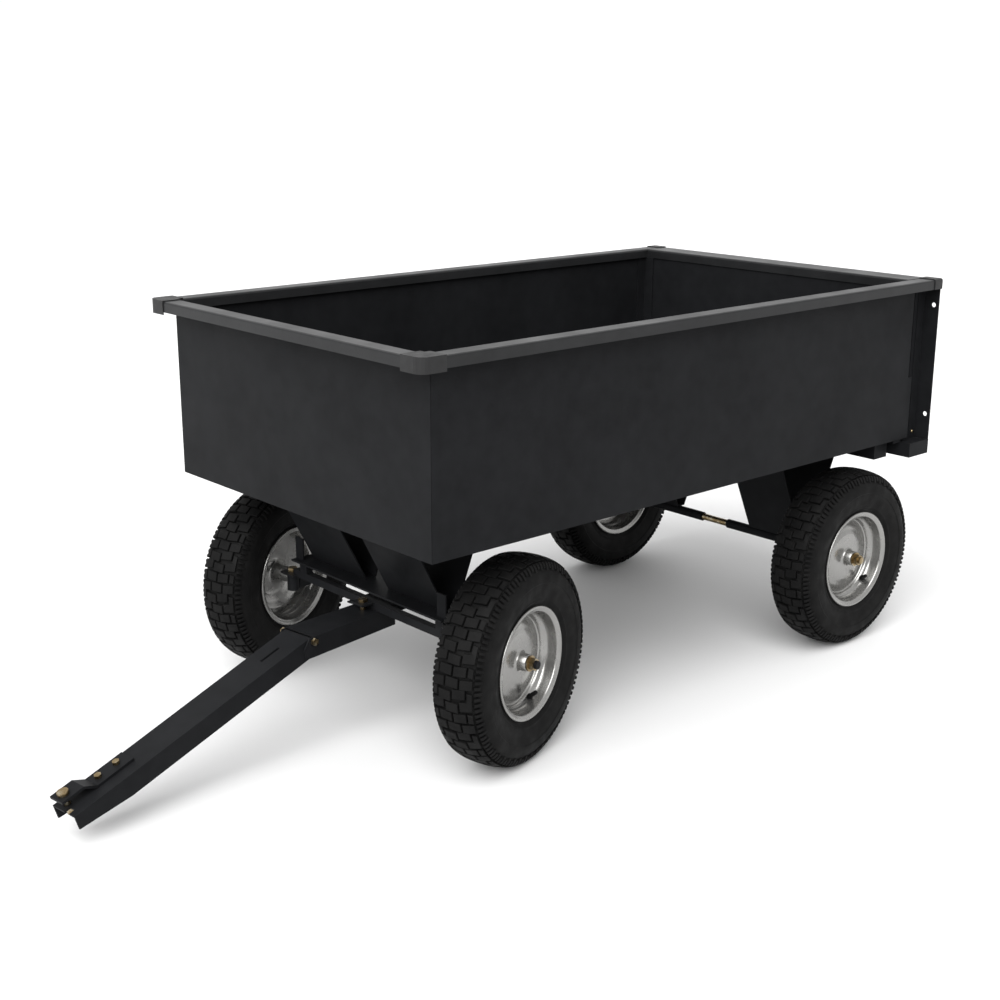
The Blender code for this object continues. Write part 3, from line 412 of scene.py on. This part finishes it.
def tyre_mesh(material):
    bm = bmesh.new()
    groove = [crown_point(across, TREAD_DEPTH) for across in GROOVE_STEPS]
    groove += [crown_point(across, drop) for across, drop in GROOVE_RUNOUT]
    half = groove + SIDEWALL + TYRE_INSIDE
    loop = half + [(-x, r) for x, r in reversed(half) if x > 0]
    revolve(bm, loop, CASING_SEGMENTS)
    pitch = 2 * pi / TREAD_ROWS
    sink = TREAD_DEPTH + BLOCK_SINK
    for row in range(TREAD_ROWS):
        if row % 2:
            edges = [-SHOULDER_START, -0.5 * BRICK, 0.5 * BRICK, SHOULDER_START]
        else:
            edges = [-SHOULDER_START, -BRICK, 0.0, BRICK, SHOULDER_START]
        for number, (start, end) in enumerate(zip(edges, edges[1:])):
            nudge = BRICK_NUDGE * pitch * (1 if (number + row // 2) % 2 else -1)
            lean = BRICK_LEAN * pitch * (1 if number % 2 else -1)
            tread_block(bm, start + BRICK_GAP / 2, end - BRICK_GAP / 2, row * pitch + nudge,
                        BRICK_FILL * pitch, sink, lean)
        for side in (1, -1):
            for step, reach in LUGS:
                ends = sorted((side * (SHOULDER_START + LUG_GAP), side * reach))
                tread_block(bm, ends[0], ends[1], (row + step) * pitch, LUG_FILL * pitch, LUG_DEPTH)
    return finish_mesh("turf_tyre", bm, material, 28.0)


# ---- rim and valve --------------------------------------------------------------------------
def rim_mesh(side, material):
    bm = bmesh.new()
    revolve(bm, [(side * x, r) for x, r in RIM_FACE + RIM_BACK], RIM_SEGMENTS)
    return finish_mesh(f"pressed_rim_{side}", bm, material, 50.0)


def valve_mesh(side, material):
    """Rubber stem and its cap, below the hub before the wheel is turned to place."""
    bm = bmesh.new()
    foot = Vector((side * VALVE_FOOT[0], 0, -VALVE_FOOT[1]))
    tip = Vector((side * VALVE_TIP[0], 0, -VALVE_TIP[1]))
    for start, end, first, last in VALVE_STEPS:
        rod(bm, foot.lerp(tip, start), foot.lerp(tip, end), first, last, 20)
    return finish_mesh(f"valve_{side}", bm, material, 40.0)


def dress_wheels(rubber, silver):
    tyre = tyre_mesh(rubber)
    rims = {side: rim_mesh(side, silver) for side in (1, -1)}
    valves = {side: valve_mesh(side, rubber) for side in (1, -1)}
    for label, (side, turn, valve_angle) in WHEELS.items():
        body = f"wheel_{label}"
        place = Matrix.Translation(box_centre(f"tyre_{label}")) @ Matrix.Rotation(turn, 4, "Z")
        piece = add_piece(f"turf_tyre_{label}", tyre, place)
        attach(piece, body)
        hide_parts(f"tyre_{label}")
        piece = add_piece(f"pressed_rim_{label}", rims[side], place)
        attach(piece, body)
        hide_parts(f"rim_{label}")
        piece = add_piece(f"valve_{label}", valves[side], place @ Matrix.Rotation(valve_angle, 4, "X"))
        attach(piece, body)
        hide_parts(f"valve_stem_{label}")


# ---- tub details ----------------------------------------------------------------------------
def dress_tub(paint):
    """Front panel's side returns, seen as a narrow strip round each front corner."""
    for side, label in ((1, "left"), (-1, "right")):
        low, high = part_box(f"side_panel_{label}")
        outer = high[0] if side > 0 else low[0]
        front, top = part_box("front_panel")[0][1], high[2]
        bm = bmesh.new()
        xs = sorted((outer + side * RETURN_CLEAR, outer + side * RETURN_PROUD))
        box_piece(bm, (xs[0], front, low[2]), (xs[1], front + RETURN_WIDTH, top - RETURN_SHORT))
        bmesh.ops.bevel(bm, geom=bm.edges[:], offset=RETURN_BEVEL, segments=2, affect="EDGES")
        piece = add_piece(f"corner_return_{label}", finish_mesh(f"corner_return_{label}", bm, paint))
        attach(piece, "cart")


def dress_posts(paint, zinc):
    """Rivet low on each tailgate post, and the pressed folds that run up its recessed web."""
    for side, label in ((1, "left"), (-1, "right")):
        panel_low, panel_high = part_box(f"side_panel_{label}")
        outer = panel_high[0] if side > 0 else panel_low[0]
        post_low, post_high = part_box(f"tailgate_post_{label}")
        web = outer - side * WEB_INSET
        bm = bmesh.new()
        at = Vector((web, panel_high[1] + RIVET_BACK, panel_low[2] + RIVET_UP))
        rod(bm, at, at + Vector((side * RIVET_HEIGHT, 0, 0)), RIVET_RADIUS, RIVET_TOP_RADIUS, 24)
        piece = add_piece(f"post_rivet_{label}", finish_mesh(f"post_rivet_{label}", bm, zinc, 30.0))
        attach(piece, "cart")
        bm = bmesh.new()
        for start in FOLD_STARTS:
            y = panel_high[1] + start
            xs = sorted((web - side * FOLD_SINK, web + side * FOLD_HEIGHT))
            box_piece(bm, (xs[0], y, post_low[2] + FOLD_FOOT),
                      (xs[1], y + FOLD_WIDTH, post_high[2] - FOLD_TOP))
        bmesh.ops.bevel(bm, geom=bm.edges[:], offset=FOLD_BEVEL, segments=2, affect="EDGES")
        piece = add_piece(f"post_folds_{label}", finish_mesh(f"post_folds_{label}", bm, paint))
        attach(piece, "cart")


# ---- stage ----------------------------------------------------------------------------------
def area_light(name, at, target, size, power):
    data = bpy.data.lights.new(name, "AREA")
    data.shape = "RECTANGLE"
    data.size, data.size_y = size
    data.energy = power
    light = bpy.data.objects.new(name, data)
    bpy.context.collection.objects.link(light)
    light.location = at
    light.rotation_euler = (Vector(target) - Vector(at)).to_track_quat("-Z", "Y").to_euler()


def make_world():
    """Pale surround, brightest behind the cart and a little dimmer on the other side."""
    world = bpy.data.worlds.new("studio")
    world.use_nodes = True
    nodes, links = world.node_tree.nodes, world.node_tree.links
    aim = nodes.new("ShaderNodeVectorMath")
    aim.operation = "DOT_PRODUCT"
    aim.inputs[1].default_value = SURROUND_BRIGHTEST.normalized()
    links.new(nodes.new("ShaderNodeTexCoord").outputs["Generated"], aim.inputs[0])
    level = nodes.new("ShaderNodeMapRange")
    level.inputs["From Min"].default_value = -SURROUND_REACH
    level.inputs["From Max"].default_value = SURROUND_REACH
    level.inputs["To Min"].default_value = SURROUND_DIM
    level.inputs["To Max"].default_value = SURROUND_BRIGHT
    links.new(aim.outputs["Value"], level.inputs["Value"])
    links.new(level.outputs["Result"], nodes["Background"].inputs["Strength"])
    nodes["Background"].inputs["Color"].default_value = (1.0, 1.0, 1.0, 1.0)
    bpy.context.scene.world = world


def make_stage():
    bm = bmesh.new()
    bmesh.ops.create_grid(bm, x_segments=1, y_segments=1, size=FLOOR_HALF)
    floor = add_piece("studio_floor", finish_mesh("studio_floor", bm, pale_floor()))
    make_world()
    sun = bpy.data.lights.new("overhead", "SUN")
    sun.energy = OVERHEAD_POWER
    sun.angle = OVERHEAD_SPREAD
    overhead = bpy.data.objects.new("overhead", sun)
    bpy.context.collection.objects.link(overhead)
    overhead.rotation_euler = OVERHEAD_TRAVEL.to_track_quat("-Z", "Y").to_euler()
    for name, at, target, size, power in AREA_LIGHTS:
        area_light(name, at, target, size, power)
    bpy.context.scene.view_settings.view_transform = "Standard"


def make_camera():
    data = bpy.data.cameras.new("camera")
    data.sensor_width = SENSOR_MM
    data.lens = LENS_MM
    data.clip_end = 60.0
    camera = bpy.data.objects.new("camera", data)
    bpy.context.collection.objects.link(camera)
    turn = (Matrix.Rotation(CAMERA_AZIMUTH, 4, "Z") @ Matrix.Rotation(pi / 2 - CAMERA_PITCH, 4, "X")
            @ Matrix.Rotation(CAMERA_ROLL, 4, "Z"))
    camera.matrix_world = Matrix.Translation(CAMERA_AT) @ turn
    bpy.context.scene.camera = camera


def main():
    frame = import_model()
    paint = powder_coat("charcoal_coat", CHARCOAL, 0.42, 0.04)
    rail_paint = powder_coat("rail_coat", RAIL_CHARCOAL, 0.36, 0.20)
    rubber = tyre_rubber()
    silver = rim_silver()
    zinc = yellow_zinc()
    by_slot = {"cart_paint": paint, "rail_paint": rail_paint, "cap_plastic": moulded_plastic(),
               "tyre_rubber": rubber, "rim_steel": silver, "yellow_zinc": zinc,
               "bush_plastic": bush_plastic()}
    for row in frame["record"]["subparts"]:
        node = frame["nodes"][row["node"]]
        node.data.materials.clear()
        node.data.materials.append(by_slot[row["material_slot"]])
    dress_wheels(rubber, silver)
    dress_tub(paint)
    dress_posts(paint, zinc)
    make_stage()
    make_camera()
    bpy.context.view_layer.update()


main()
